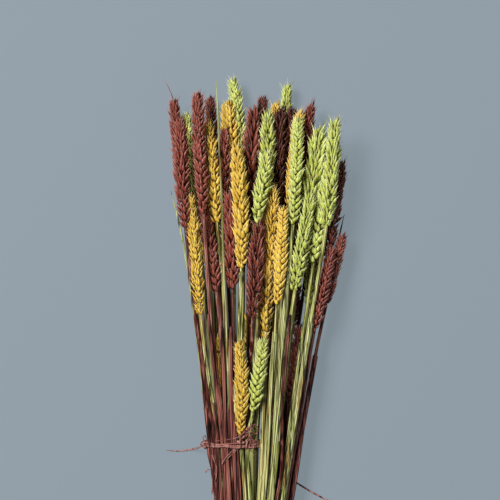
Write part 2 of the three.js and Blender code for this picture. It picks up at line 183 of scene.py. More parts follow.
def top_at(x, y):
    """How high the straws reach at a place seen from above, and 0 where there are none."""
    reach = 0.0
    for line in lines.values():
        middle = np.interp(y, line["y"], line["points"][:, 0])
        thick = SHEATHED * line["stem"][0]
        near = thick + 1.5 * MM
        if line["y"][0] < y < line["foot"] and abs(x - middle) < near:
            crown = math.sqrt(max(thick**2 - (x - middle) ** 2, 0))
            reach = max(reach, np.interp(y, line["y"], line["points"][:, 2]) + crown)
    return reach


def faces_between(rings, sides, first=0):
    """The four-sided faces that join rings of points, whose numbers follow on from first."""
    return [
        (low + i, low + (i + 1) % sides, low + sides + (i + 1) % sides, low + sides + i)
        for low in range(first, first + (rings - 1) * sides, sides)
        for i in range(sides)
    ]


class Shape:
    """Gathers the points, faces and materials of one piece, with what its colour follows: tone,
    which differs from husk to husk, how far along a point is, keel, which is 1 on a ridge and 0 in
    a furrow, and how proud it stands. Keel and proud place painted highlight and painted shade."""

    def __init__(self):
        self.points, self.faces, self.slots = [], [], []
        self.tone, self.along, self.keel, self.proud = [], [], [], []
        self.count = 0

    def add(self, points, faces, slot, tone, along, keel, proud=None):
        self.points.append(points)
        self.faces += [tuple(i + self.count for i in f) for f in faces]
        self.slots += [slot] * len(faces)
        self.tone.append(np.full(len(points), tone))
        self.along.append(along)
        self.keel.append(keel)
        self.proud.append(np.ones(len(points)) if proud is None else proud)
        self.count += len(points)

    def build(self, name, materials):
        mesh = bpy.data.meshes.new(name)
        points = np.concatenate(self.points)
        rest = cad_box[0][2] + 0.1 * MM  # what would reach lower is pressed flat on the table
        points[:, 2] = np.maximum(points[:, 2], rest)
        mesh.from_pydata(points.tolist(), [], self.faces)
        mesh.polygons.foreach_set("material_index", self.slots)
        mesh.polygons.foreach_set("use_smooth", [True] * len(self.faces))
        for key in ("tone", "along", "keel", "proud"):
            values = np.concatenate(getattr(self, key)).astype(np.float32)
            mesh.attributes.new(key, "FLOAT", "POINT").data.foreach_set("value", values)
        for material in materials:
            mesh.materials.append(material)
        piece = bpy.data.objects.new(name, mesh)
        bpy.context.scene.collection.objects.link(piece)
        return piece


def sweep(
    shape, points, sides, half_side, half_up, slot, tone, ribs=0.0, roll=0.0, ups=None, bore=0.0
):
    """A closed tube along points. Its section is half_side by half_up, with ribs along it. Its
    first end can have a bore, as a share of its width, which goes three widths deep."""
    points = np.asarray(points, float)
    n = len(points)
    tangents = np.gradient(points, axis=0)
    tangents /= np.linalg.norm(tangents, axis=1)[:, None]
    if ups is None:
        ups = np.tile([0.0, 0.0, 1.0], (n, 1))
    ups = ups - (ups * tangents).sum(axis=1)[:, None] * tangents
    ups /= np.linalg.norm(ups, axis=1)[:, None]
    rights = np.cross(tangents, ups)
    angles = np.arange(sides) * 2 * math.pi / sides
    swell = 1 + ribs * np.where(np.arange(sides) % 2, -1.0, 1.0)
    roll = np.broadcast_to(roll, n)
    across = np.cos(angles)[None] * swell * np.broadcast_to(half_side, n)[:, None]
    high = np.sin(angles)[None] * swell * np.broadcast_to(half_up, n)[:, None]
    turned = across * np.cos(roll)[:, None] - high * np.sin(roll)[:, None]
    raised = across * np.sin(roll)[:, None] + high * np.cos(roll)[:, None]
    rings = (
        points[:, None] + turned[..., None] * rights[:, None] + raised[..., None] * ups[:, None]
    ).reshape(-1, 3)
    faces = [f[::-1] for f in faces_between(n, sides)]
    faces.append(tuple((n - 1) * sides + i for i in reversed(range(sides))))
    # keel: 1 on a rib and 0 in a furrow, where the straw's material paints shade
    raised_rib = np.tile(np.where(np.arange(sides) % 2, 0.0, 1.0), n)
    along = np.repeat(np.linspace(0, 1, n), sides)
    if bore:
        mouth = points[0] + bore * (rings[:sides] - points[0])
        deep = mouth + 6 * np.broadcast_to(half_side, n)[0] * tangents[0]
        rings = np.concatenate([rings, mouth, deep])
        # The mouth counts as a rib and the deep ring as a furrow, so the inside of the bore gets
        # painted shade.
        raised_rib = np.concatenate([raised_rib, np.ones(sides), np.zeros(sides)])
        along = np.concatenate([along, np.zeros(2 * sides)])
        faces += [
            (i, (i + 1) % sides, n * sides + (i + 1) % sides, n * sides + i) for i in range(sides)
        ]
        faces += faces_between(2, sides, n * sides)
        faces.append(tuple((n + 1) * sides + i for i in range(sides)))
    else:
        faces.append(tuple(range(sides)))
    shape.add(rings, faces, slot, tone, along, raised_rib)


def husk_pattern():
    """One husk of unit size, its foot at zero and its point at +Z: points, faces and keel."""
    angles = np.arange(HUSK_SIDES) * 2 * math.pi / HUSK_SIDES
    facing = np.cos(angles)
    rings = []
    for place, half, outer, inner, bow in HUSK_OUTLINE:
        depth = np.where(facing > 0, outer * (1 + 0.3 * np.maximum(facing, 0) ** 8), inner)
        rings.append(
            np.stack([half * np.sin(angles), depth * facing + bow, np.full(HUSK_SIDES, place)], 1)
        )
    points = np.concatenate([*rings, [[0, 0.42, 1.0]]])
    last = (len(HUSK_OUTLINE) - 1) * HUSK_SIDES
    faces = faces_between(len(HUSK_OUTLINE), HUSK_SIDES)
    faces += [(last + i, last + (i + 1) % HUSK_SIDES, len(points) - 1) for i in range(HUSK_SIDES)]
    faces += [tuple(reversed(range(HUSK_SIDES)))]
    # The keel is the husk's outer crest, which gets a painted highlight.
    keel = np.append(np.tile(np.maximum(facing, 0) ** 2, len(HUSK_OUTLINE)), 1.0)
    return points, faces, keel  # add_husk mirrors them, which turns the faces outwards


HUSK_POINTS, HUSK_FACES, HUSK_KEEL = husk_pattern()


def add_husk(
    shape, middle, foot, along, outwards, length, half_width, depth, beard, tone, reach, rng
):
    """Places one husk, crinkled as dried. How proud of the ear's middle each point stands sets the
    painted shade: points deep in the ear are darkened, the crests are not."""
    side = np.cross(along, outwards)
    side /= np.linalg.norm(side)
    out = np.cross(side, along)
    p = HUSK_POINTS * [half_width, depth, length]
    p[:, :2] *= rng.normal(1, CRINKLE, (len(p), 1))
    p[-1, 2] += beard
    p[-1, 1] += AWN_LEAN * beard
    placed = foot + p[:, :1] * side + p[:, 1:2] * out + p[:, 2:] * along
    centre, ahead = middle
    off = placed - centre
    off -= (off @ ahead)[:, None] * ahead
    proud = np.linalg.norm(off, axis=1) / reach
    shape.add(placed, HUSK_FACES, 0, tone, HUSK_POINTS[:, 2], HUSK_KEEL, proud)


def add_ear(shape, line, rng, roll_foot, roll_tip, beard, shade, swell):
    """Spikelets stand by turns on two sides of the ear, each a fan of seven husks. A few husks have
    dropped off and a few gape. Below 1, shade spreads more painted shade over the whole ear, and
    swell makes its husks smaller."""
    tip, foot = line["y"][-1], line["foot"]
    fullness = swell * max(0.76, line["ear"] / FULL_EAR)
    top_spikelet = TOP_SPIKELET * fullness
    count = int((tip - foot - top_spikelet) / (HUSKS_APART * min(1, fullness)))
    for n in range(count + 1):
        share = n / count
        climbed = 1 - (1 - share) ** 1.2  # they stand closer together towards the tip
        y = foot + climbed * (tip - foot - top_spikelet) + rng.normal(0, 0.3) * MM
        p, t, up, right = at(line, y)
        roll = math.radians(roll_foot + (roll_tip - roll_foot) * share + rng.normal(0, 6))
        fan = up * math.cos(roll) + right * math.sin(roll)
        row = right * math.cos(roll) - up * math.sin(roll)
        size = fullness * np.interp(share, *SIZE_ALONG_EAR) * rng.normal(1, 0.05)
        plaited = math.cos(roll) ** 2  # how much of both rows shows: there husks lie flat and full
        plump = 0.9 + 0.52 * plaited
        unruly = 1 - 0.6 * plaited
        outwards = row * (1 if n % 2 else -1)
        if n == count:  # the last spikelet faces the other way and stands straight up
            outwards, fan = fan, row
        for high, out, aside, lean_out, lean_side, length, half, depth, sideways in SPIKELET:
            chance = rng.uniform()
            if chance < MISSING and half < 1.6:  # the two widest hold on
                continue
            gape = GAPE * unruly if chance > GAPING else 0
            straight = 0.3 if n == count else 1
            tilt_out = math.radians(lean_out * straight + gape + unruly * rng.normal(0, 5))
            tilt_side = math.radians(lean_side + unruly * rng.normal(0, 7))
            direction = t + math.tan(tilt_out) * outwards + math.tan(tilt_side) * fan
            direction /= np.linalg.norm(direction)
            start = p + MM * size * (high * t + (out - 0.5) * outwards + aside * fan)
            facing = outwards + math.copysign(sideways, aside) * fan
            grown = size * rng.normal(1, 0.1)
            point = beard * MM * unruly * rng.uniform(0.1, 1.2) * (1 + 1.3 * share**4)
            # A husk's reach sets its painted shade, which goes deeper where shade is below 1.
            add_husk(
                shape, (p, t), start, direction, facing, length * MM * grown,
                half * MM * grown * plump, depth * MM * grown, point, rng.uniform(0, 1),
                size * FULL_EAR / shade, rng,
            )
    core = [at(line, y)[0] for y in np.linspace(foot - 2 * MM, tip - 9 * MM, 14)]
    sweep(shape, core, 6, 0.9 * MM, 0.9 * MM, 0, 0.2)


def add_stem(shape, line, rng, collar, loose):
    """The straw with its nodes, down to the cut end, and the ribbed leaf sheath round it, which
    starts at the collar and is loose by a share of the straw's width."""
    low, foot = line["y"][0], line["foot"]
    nodes = [collar - rng.uniform(95, 130) * MM, foot - rng.uniform(150, 190) * MM]
    for bottom, top, wide, ribs, slot in [
        (collar - SHEATH_OVERLAP, foot, 1.0, 0.02, 1), (low, collar, loose, 0.08, 2),
    ]:
        ys = np.append(np.arange(bottom, top, STRAW_SECTION), top)
        near = [y + off * MM for y in nodes for off in (-3, -1.5, 0, 1.5, 3)]
        ys = np.array(sorted(y for y in {*ys, *near} if bottom <= y <= top))
        points = np.array([at(line, y)[0] for y in ys])
        radius = np.interp(ys, line["y"], line["stem"])
        for y in nodes:
            radius = radius * (1 + NODE_SWELL * np.exp(-(((ys - y) / NODE_LENGTH) ** 2)))
        roll = rng.uniform(-0.5, 0.5) + np.linspace(0, rng.uniform(-1.2, 1.2), len(ys))
        wave = 1 + 0.07 * np.sin(ys / (17 * MM) + rng.uniform(0, 6))
        sweep(
            shape, points, 12, radius * wide * (wave if slot == 2 else 1),
            radius * (1 if slot == 1 else 1.05), slot, rng.uniform(0, 1), ribs=ribs,
            roll=roll * (1 if slot == 1 else 0.3), bore=0.6 if slot == 2 else 0,
        )


def add_ribbon(shape, line, rng, top, bottom, half_width, aside, lift):
    """A flattened sheath or dried leaf that lies on the straw from top down to bottom, arched
    across, ribbed along and a little wavy. Without a lift it lies over all the straws below it."""
    ys = np.arange(top, bottom, -RIBBON_SECTION)
    share = np.linspace(0, 1, len(ys))
    wave = rng.uniform(0, 6)
    ribs = int(rng.integers(2, 4))
    u = np.linspace(-1, 1, 4 * ribs + 1)
    ridge = np.sin(np.pi * ribs * (u + 1) / 2) ** 2
    width = half_width * np.interp(share, [0, 0.06, 0.2, 0.9, 1], [0.35, 0.8, 1, 0.9, 0.3])
    width = width * (1 + 0.16 * np.sin(wave + ys / (23 * MM)))
    middles = []
    for y in ys:
        p, t, up, right = at(line, y)
        p = p + right * (aside + 0.5 * MM * math.sin(wave + y / (31 * MM)))
        rise = np.interp(y, line["y"], line["stem"]) + (lift or 0)
        middles.append((p + up * rise, up, right))
    if lift is None:
        crest = [
            max(top_at(p[0] + half * a, p[1]) for a in (-0.8, -0.4, 0, 0.4, 0.8))
            for (p, _, _), half in zip(middles, width)
        ]
        crest = np.convolve(np.pad(crest, 3, "edge"), np.ones(7) / 7, "valid") + 0.6 * MM
        for (p, _, _), z in zip(middles, crest):
            p[2] = max(p[2], z)
    points = []
    for (base, up, right), y, half in zip(middles, ys, width):
        turn = 0.3 * math.sin(2 * wave + y / (45 * MM))
        face = up * math.cos(turn) + right * math.sin(turn)
        edge = right * math.cos(turn) - up * math.sin(turn)
        upper = [base + edge * half * a + face * (0.5 * r * MM - 0.4 * half * a * a)
                 for a, r in zip(u, ridge)]
        points += upper + [q - face * LEAF_THICKNESS for q in upper[::-1]]
    n = 2 * len(u)
    faces = [f[::-1] for f in faces_between(len(ys), n)]
    faces += [tuple(range(n)), tuple((len(ys) - 1) * n + i for i in reversed(range(n)))]
    keel = np.tile(np.concatenate([ridge, ridge[::-1]]), len(ys))
    # How near a point lies to the ribbon's middle: the material paints shade along both edges.
    middle = np.tile(np.concatenate([1 - np.abs(u)] * 2), len(ys))
    shape.add(
        np.array(points), faces, 2, rng.uniform(0, 1), np.repeat(share, n), keel, middle,
    )


def add_awn(shape, line, length, aside):
    """One long bristle that the ear's last husk ends in, leaning aside."""
    p, t, up, right = at(line, line["y"][-1] - 3 * MM)
    bend = [(0, 0), (0.35, 0.2), (0.7, 0.55), (1, 1)]
    points = [p + t * length * s + right * aside * b for s, b in bend]
    sweep(shape, points, 6, np.array([0.4, 0.3, 0.22, 0.1]) * MM, 0.25 * MM, 0, 0.6)


def linear(colour):
    """An sRGB hex colour as linear red, green, blue and alpha."""
    parts = [((colour >> shift) & 255) / 255 for shift in (16, 8, 0)]
    return [*(c / 12.92 if c <= 0.04045 else ((c + 0.055) / 1.055) ** 2.4 for c in parts), 1.0]


def node(tree, kind, settings=None, **inputs):
    """Adds a shader node with its settings. An input is a value or another node's output, and goes
    by its name, or by its number after an underscore."""
    made = tree.nodes.new(kind)
    for key, value in (settings or {}).items():
        setattr(made, key, value)
    for key, value in inputs.items():
        place = int(key[1:]) if key[1:].isdigit() else key.replace("_", " ")
        socket = made.inputs[place]
        if isinstance(value, bpy.types.NodeSocket):
            tree.links.new(value, socket)
        else:
            socket.default_value = value
    return made


def principled(name):
    """A new material, its node tree and its surface shader."""
    material = bpy.data.materials.new(name)
    material.use_nodes = True
    return material, material.node_tree, material.node_tree.nodes["Principled BSDF"]


def lay_coats(tree, colour, coats):
    """Lays coats of dye over a colour, one after the other. Each follows a value that was grown or
    is noise: its share of the surface goes from first, at low, to last, at high."""
    for value, low, high, first, last, coat in coats:
        if isinstance(value, str):
            value = node(tree, "ShaderNodeAttribute", {"attribute_name": value}).outputs["Fac"]
        share = node(tree, "ShaderNodeMapRange", Value=value, _1=low, _2=high, _3=first, _4=last)
        colour = node(
            tree, "ShaderNodeMix", {"data_type": "RGBA"}, _0=share.outputs[0], _6=colour,
            _7=linear(coat),
        ).outputs[2]
    return colour


def dyed_husk(name, hollow, body, pale, tip, fleck):
    """Dyed husk: papery, with a slight gloss. The dye took more or less from husk to husk, and
    shade is painted in the hollows deep in the ear. The keel has a painted highlight, the point is
    paler, fine ribs 0.5 mm apart run along it, and flecks 1.5 mm wide missed the dye."""
    material, tree, surface = principled(name)
    place = node(tree, "ShaderNodeTexCoord").outputs["Object"]
    ribs_apart = 0.5 * MM
    stretch = node(tree, "ShaderNodeMapping", Vector=place, Scale=(1, 0.1, 1)).outputs[0]
    ribs = node(
        tree, "ShaderNodeTexNoise", Vector=stretch, Scale=0.5 / ribs_apart, Detail=3,
    ).outputs["Fac"]
    patch_size = 9 * MM
    patches = node(tree, "ShaderNodeTexNoise", Vector=place, Scale=1 / patch_size, Detail=2)
    fleck_size = 1.5 * MM
    flecks = node(tree, "ShaderNodeTexNoise", Vector=place, Scale=0.5 / fleck_size, Detail=2)
    colour = lay_coats(tree, linear(body), [
        ("tone", 0.0, 1.0, 0.0, 1.0, pale),
        (patches.outputs["Fac"], 0.5, 0.75, 0.0, 0.6, body),
        (flecks.outputs["Fac"], 0.56, 0.66, 0.0, 0.7, fleck),
        # painted highlight along the keel
        ("keel", 0.45, 1.0, 0.0, 0.5, pale),
        (ribs, 0.34, 0.56, 0.45, 0.0, hollow),
        ("along", 0.62, 1.0, 0.0, 0.8, tip),
        # painted shade deep in the ear, fading out towards the crests
        ("proud", 0.4, 0.92, 0.92, 0.0, hollow),
    ])
    bump = node(tree, "ShaderNodeBump", Strength=0.4, Distance=0.25 * MM, Height=ribs)
    tree.links.new(colour, surface.inputs["Base Color"])
    tree.links.new(bump.outputs[0], surface.inputs["Normal"])
    surface.inputs["Roughness"].default_value = 0.42
    surface.inputs["IOR"].default_value = 1.5
    return material


def dyed_straw(name, hollow, body, pale, stain):
    """Dyed straw and leaf: a smooth, slightly glossy skin, ribbed along. Shade is painted in the
    furrows between the ribs, inside cut ends and along a ribbon's edges. Long streaks 0.8 mm apart
    are paler and darker, partly the straw's own and partly painted highlight and painted shade,
    and some lengths are stained."""
    material, tree, surface = principled(name)
    place = node(tree, "ShaderNodeTexCoord").outputs["Object"]
    streaks_apart = 0.8 * MM
    stretch = node(tree, "ShaderNodeMapping", Vector=place, Scale=(1, 0.02, 1)).outputs[0]
    streaks = node(
        tree, "ShaderNodeTexNoise", Vector=stretch, Scale=0.5 / streaks_apart, Detail=4,
    ).outputs["Fac"]
    stained_length = 60 * MM
    along = node(tree, "ShaderNodeMapping", Vector=place, Scale=(6, 1, 6)).outputs[0]
    lengths = node(tree, "ShaderNodeTexNoise", Vector=along, Scale=1 / stained_length, Detail=3)
    colour = lay_coats(tree, linear(body), [
        ("tone", 0.0, 1.0, 0.0, 0.6, pale),
        (lengths.outputs["Fac"], 0.5, 0.62, 0.0, 0.7, stain),
        # pale and dark streaks: partly the straw's own, partly painted highlight and painted shade
        (streaks, 0.53, 0.61, 0.0, 0.95, pale),
        (streaks, 0.39, 0.48, 0.95, 0.0, hollow),
        # painted shade in the furrows between the ribs and inside cut ends
        ("keel", 0.0, 0.55, 0.95, 0.0, hollow),
        # painted shade along a ribbon's edges
        ("proud", 0.05, 0.3, 0.9, 0.0, hollow),
    ])
    bump = node(tree, "ShaderNodeBump", Strength=0.35, Distance=0.3 * MM, Height=streaks)
    tree.links.new(colour, surface.inputs["Base Color"])
    tree.links.new(bump.outputs[0], surface.inputs["Normal"])
    surface.inputs["Roughness"].default_value = 0.42
    surface.inputs["IOR"].default_value = 1.5
    surface.inputs["Specular IOR Level"].default_value = 0.35
    return material


def make_stalks(
    colour, count, materials, rolls, usual_roll, beard, collars, usual_collar, ribbons, awns,
    shades, swells,
):
    """Makes all the stalks of one colour. rolls says how each ear is turned at its foot and tip:
    0 shows its two rows side by side like a plait, and 90 shows one row's fans. collars says how
    far below its ear each sheath starts and how loose it is, and ribbons each stalk's ribbons:
    where they start below the ear, where they end above the cut, half width, place across and
    how far they stand off the straw, or None over all the straws there. awns gives the length and
    lean of a long last bristle, shades how much painted shade darkens an ear, and swells how
    full it is."""
    for number in range(1, count + 1):
        name = f"{colour}_stalk_{number:02d}"
        rng = np.random.default_rng([number, len(colour)])
        line = lines[name]
        shape = Shape()
        turned = rng.uniform(*usual_roll)
        roll_foot, roll_tip = rolls.get(number, (turned, turned + rng.uniform(-20, 25)))
        shade, swell = shades.get(number, 1.0), swells.get(number, 1.0)
        add_ear(shape, line, rng, roll_foot, roll_tip, beard, shade, swell)
        below, loose = collars.get(number, (rng.uniform(*usual_collar), rng.uniform(1.1, 1.35)))
        collar = line["foot"] - below * MM
        add_stem(shape, line, rng, collar, loose)
        for start, end, half_width, aside, lift in ribbons.get(number, []):
            top, bottom = line["foot"] - start * MM, line["y"][0] + end * MM
            lift = None if lift is None else lift * MM
            add_ribbon(shape, line, rng, top, bottom, half_width * MM, aside * MM, lift)
        for length, aside in awns.get(number, []):
            add_awn(shape, line, length * MM, aside * MM)
        piece = shape.build(f"{name}_grown", materials)
        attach(piece, "root")
        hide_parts(name)


# Each look's first colour is its painted shade, which the husk also uses for its fine ribs and the
# straw for its darker streaks.
brown_husk = dyed_husk("brown_dyed_husk", 0x1C0603, 0x7E3022, 0xA34F3E, 0xC68E7E, 0x97604E)
brown_straw = dyed_straw("brown_dyed_straw", 0x220703, 0x622217, 0xBE8274, 0x42140C)
brown_leaf = dyed_straw("brown_dyed_leaf", 0x130301, 0x52160D, 0xB06C5E, 0x380E07)
make_stalks(
    "brown", 22, [brown_husk, brown_straw, brown_leaf],
    rolls={1: (50, 60), 2: (35, 60), 3: (15, 50), 5: (30, 50), 7: (40, 60), 12: (60, 80),
           14: (20, 30), 15: (25, 40), 17: (20, 30)},
    usual_roll=(20, 65), beard=2.4,
    collars={2: (70, 1.4), 3: (95, 1.4), 7: (60, 1.35), 14: (40, 1.35), 15: (20, 1.3)},
    usual_collar=(50, 120),
    ribbons={
        1: [(90, 80, 1.6, 0.6, None)], 2: [(90, 40, 1.8, 0.6, None), (140, 60, 1.5, 3.4, None)],
        3: [(80, 30, 1.9, -1.2, None), (130, 60, 1.5, 1.6, None)],
        5: [(28, 50, 1.7, 0.4, None), (64, 60, 1.6, 3.0, None)],
        7: [(30, 30, 1.9, -1.8, None), (104, 70, 1.5, 0.8, None)],
        6: [(90, 60, 1.7, -0.6, None)], 14: [(50, 60, 1.9, 0.5, 0.6)],
        15: [(90, 80, 1.6, 0.0, 0.6)], 12: [(150, 50, 1.5, 0.0, 0.6)],
        11: [(200, 60, 1.6, 0.0, 1.2)],
        16: [(90, 60, 1.5, 0.6, None)],
    },
    awns={1: [(19, -7)], 16: [(7, 1)]},
    shades={4: 0.76, 8: 0.7, 9: 0.64, 10: 0.47, 11: 0.5, 12: 0.76, 13: 0.84, 16: 0.82, 17: 0.62},
    swells={1: 0.9, 2: 0.92, 3: 0.8, 5: 1.1, 7: 1.14, 8: 1.18, 12: 1.2, 14: 0.9, 15: 0.84},
)


# ---- Yellow stalks ----
# Grown as the brown ones are, and dyed golden yellow. The straw took the dye less than the husks
# did, and stays a pale olive.

yellow_husk = dyed_husk("yellow_dyed_husk", 0x8C5A0C, 0xEFBE2E, 0xFAD95C, 0xFCEAA6, 0xC58A2A)
yellow_straw = dyed_straw("yellow_dyed_straw", 0x443C10, 0xACAB46, 0xE6E298, 0xAC8028)
yellow_leaf = dyed_straw("yellow_dyed_leaf", 0x2A220A, 0x9A9A46, 0xE0DE9E, 0x9A6A24)
make_stalks(
    "yellow", 16, [yellow_husk, yellow_straw, yellow_leaf],
    rolls={1: (20, 70), 2: (8, 60), 4: (40, 65), 11: (2, 14), 9: (50, 75), 5: (35, 60)},
    usual_roll=(25, 75), beard=1.9,
    collars={1: (4, 1.6), 2: (12, 1.15), 4: (25, 1.2), 11: (22, 1.4), 9: (30, 1.4)},
    usual_collar=(20, 80),
    ribbons={
        1: [(3, 250, 2.5, 0.0, 0.6)], 11: [(30, 60, 1.7, 0.0, 0.6)],
        9: [(60, 40, 1.9, 0.3, 0.6)], 12: [(90, 60, 1.6, 0.0, 0.6)],
        5: [(40, 240, 1.7, 0.0, 0.3)],
    },
    awns={},
    shades={9: 0.86, 10: 0.76},
    swells={1: 0.84, 2: 0.92, 4: 0.84, 10: 1.1},
)


# ---- Green stalks ----
# Grown as the others are, and dyed a light yellow green, the straw a duller olive green.

green_husk = dyed_husk("green_dyed_husk", 0x4A3E10, 0xC2CE44, 0xE0EA80, 0xF2F4C0, 0xB79A52)
green_straw = dyed_straw("green_dyed_straw", 0x36340E, 0xA2A642, 0xE0E094, 0x90822E)
green_leaf = dyed_straw("green_dyed_leaf", 0x241E08, 0x949A44, 0xDEDE9C, 0x96622A)
make_stalks(
    "green", 16, [green_husk, green_straw, green_leaf],
    rolls={1: (0, 8), 3: (8, 70), 4: (4, 14), 8: (70, 85), 10: (60, 80), 11: (8, 30),
           13: (50, 80)},
    usual_roll=(25, 75), beard=2.8,
    collars={1: (6, 1.1), 4: (30, 1.4), 8: (30, 1.4), 10: (70, 1.3), 13: (28, 1.4)},
    usual_collar=(20, 80),
    ribbons={
        3: [(60, 50, 1.9, 0.0, 0.6)], 4: [(45, 40, 2.3, -0.4, 0.6)],
        8: [(60, 50, 1.8, 0.0, 0.6)], 13: [(34, 30, 2.0, -0.5, 0.6), (120, 60, 1.4, 1.5, 0.8)],
        11: [(60, 50, 1.6, 0.0, 0.6)], 10: [(110, 50, 1.8, 0.0, 0.6)],
        9: [(70, 60, 1.6, 0.0, 0.6)], 1: [(70, 60, 1.6, 0.0, 0.6)], 6: [(50, 160, 1.4, 0.0, 0.4)],
        7: [(60, 60, 1.7, 0.0, 0.6)],
    },
    awns={},
    shades={12: 0.72},
    swells={1: 1.04, 8: 1.3, 11: 1.1},
)


# ---- Leaf blades ----
# Three long leaves that dried and rolled up lengthwise, and stand out between the ears. They were
# dyed with the green wheat and took little of it.

BLADE_SECTION = 6 * MM
for number, spread in ((1, 0.0), (2, 0.5), (3, 3.4)):  # how far aside its tip stands out, in mm
    name = f"leaf_blade_{number}"
    line = middle_line(name)
    shape = Shape()
    ys = np.arange(line["y"][0], line["y"][-1], BLADE_SECTION)
    points = np.array([at(line, y)[0] for y in ys])
    share = np.linspace(0, 1, len(ys))
    points[:, 0] += spread * MM * np.interp(share, [0.4, 0.9], [0, 1])
    half = np.interp(share, [0, 0.05, 0.75, 0.96, 1], [0.9, 1.25, 1.1, 0.7, 0.15]) * MM
    sweep(shape, points, 10, half, 0.5 * half, 0, 0.5, ribs=0.1, roll=0.8 * np.sin(7 * share))
    piece = shape.build(f"{name}_rolled", [green_leaf])
    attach(piece, "root")
    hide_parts(name)


# ---- Raffia tie ----
# Four turns of brown raffia round the stems at the left, knotted at the side. Raffia is a dried
# palm leaf torn into strips, so each strand is flat, creased and frayed.

brown_raffia = dyed_straw("brown_raffia", 0x3C150E, 0xA45A4C, 0xD8A294, 0x6E3226)
RING_POINTS = 96  # of one turn round the stems
STRAND_SIDES = 8
STRAND_THICKNESS = 0.3 * MM
TWIST = 2.0  # how far a loose strand turns about itself, in radians
FRAYED_FIBRES = 16


def hull(points):
    """The convex outline of points in a plane, anticlockwise."""
    points = sorted(map(tuple, points))
    outline = []
    for ordered in (points, points[::-1]):
        half = []
        for p in ordered:
            while len(half) > 1:
                (ax, ay), (bx, by) = half[-2], half[-1]
                if (bx - ax) * (p[1] - by) - (by - ay) * (p[0] - bx) > 0:
                    break
                half.pop()
            half.append(p)
        outline += half[:-1]
    return np.array(outline)


def line_round(y, stems, away):
    """A closed line at y round the stems, at a distance from them, as evenly spaced points."""
    turns = np.arange(16) * math.pi / 8
    rim = []
    for line in stems:
        p = at(line, y)[0]
        reach = np.interp(y, line["y"], line["stem"]) * 1.15 + away  # a straw in its sheath
        rim += [(p[0] + reach * math.cos(a), p[2] + reach * math.sin(a)) for a in turns]
    corners = hull(rim)
    closed = np.vstack([corners, corners[:1]])
    steps = np.concatenate([[0], np.cumsum(np.linalg.norm(np.diff(closed, axis=0), axis=1))])
    even = np.linspace(0, steps[-1], RING_POINTS + 1)[:-1]
    return np.stack([np.interp(even, steps, closed[:, i]) for i in (0, 1)], axis=1)


def add_turn(shape, ring, y, tilt, phase, half_width, thick, rng, away):
    """Winds a flat strand once round a ring of points, tilted, and lying away from it."""
    n = len(ring)
    steps = np.arange(n + 1)
    middle = ring.mean(axis=0)
    points, ups = [], []
    for s in steps:
        p = ring[s % n]
        out = (p - middle) / np.linalg.norm(p - middle)
        p = p + out * away
        across = y + tilt * math.sin(2 * math.pi * s / n + phase)
        points.append((p[0], across, p[1]))
        ups.append((out[0], 0, out[1]))
    wobble = 1 + 0.18 * np.sin(np.arange(len(steps)) * 0.5 + rng.uniform(0, 6))
    sweep(
        shape, points, STRAND_SIDES, half_width * wobble, thick, 0, rng.uniform(0, 1), ribs=0.1,
        roll=0.25 * np.sin(np.arange(len(steps)) * 0.23 + phase), ups=np.array(ups),
    )


def add_strand(shape, points, half_width, thick, rng, taper=0.25):
    """A loose strand through points, smoothed, twisting, and thinning to a taper at its end."""
    points = np.array(points, float)
    share = np.linspace(0, 1, len(points))
    fine = np.linspace(0, 1, 8 * len(points))
    curve = np.stack([np.interp(fine, share, points[:, i]) for i in range(3)], axis=1)
    for _ in range(6):
        curve[1:-1] = (curve[:-2] + 2 * curve[1:-1] + curve[2:]) / 4
    width = half_width * np.interp(fine, [0, 0.15, 0.8, 1], [0.8, 1, 0.8, taper])
    tangent = np.gradient(curve, axis=0)
    ups = np.where(np.abs(tangent[:, 2:]) > 0.9 * np.linalg.norm(tangent, axis=1)[:, None],
                   [[1.0, 0.0, 0.0]], [[0.0, 0.0, 1.0]])
    roll = rng.uniform(0, 3) + TWIST * fine
    sweep(
        shape, curve, STRAND_SIDES, width, thick, 0, rng.uniform(0, 1), ribs=0.1, roll=roll,
        ups=ups,
    )


def laid(start, steps):
    """Points on top of the stems, given in millimetres from a start: across, along and lift. Off
    the stems a strand hangs at a little under half the start's height."""
    points = []
    for across, along, lift in steps:
        x, y = start[0] + across * MM, start[1] + along * MM
        points.append((x, y, max(top_at(x, y), 0.45 * start[2]) + lift * MM))
    return points


def add_knot(shape, centre, size, half_width, rng, out):
    """A tight overhand knot of one flat strand, as a trefoil, seen best along out."""
    t = np.linspace(0, 2 * math.pi, 61)[:-1]
    flat = np.stack([np.sin(t) + 2 * np.sin(2 * t), np.cos(t) - 2 * np.cos(2 * t)], 1) / 3
    out = np.array(out) / np.linalg.norm(out)
    side = np.cross([0, 1, 0], out)
    curve = (
        np.array(centre) + size * flat[:, :1] * side + size * flat[:, 1:] * np.array([0, 1, 0])
        - 0.45 * size * np.sin(3 * t)[:, None] * out
    )
    ups = curve - np.array(centre) + out * size
    sweep(
        shape, np.vstack([curve, curve[:3]]), STRAND_SIDES, half_width, 0.35 * half_width, 0,
        rng.uniform(0, 1), ribs=0.12, ups=np.vstack([ups, ups[:3]]),
    )


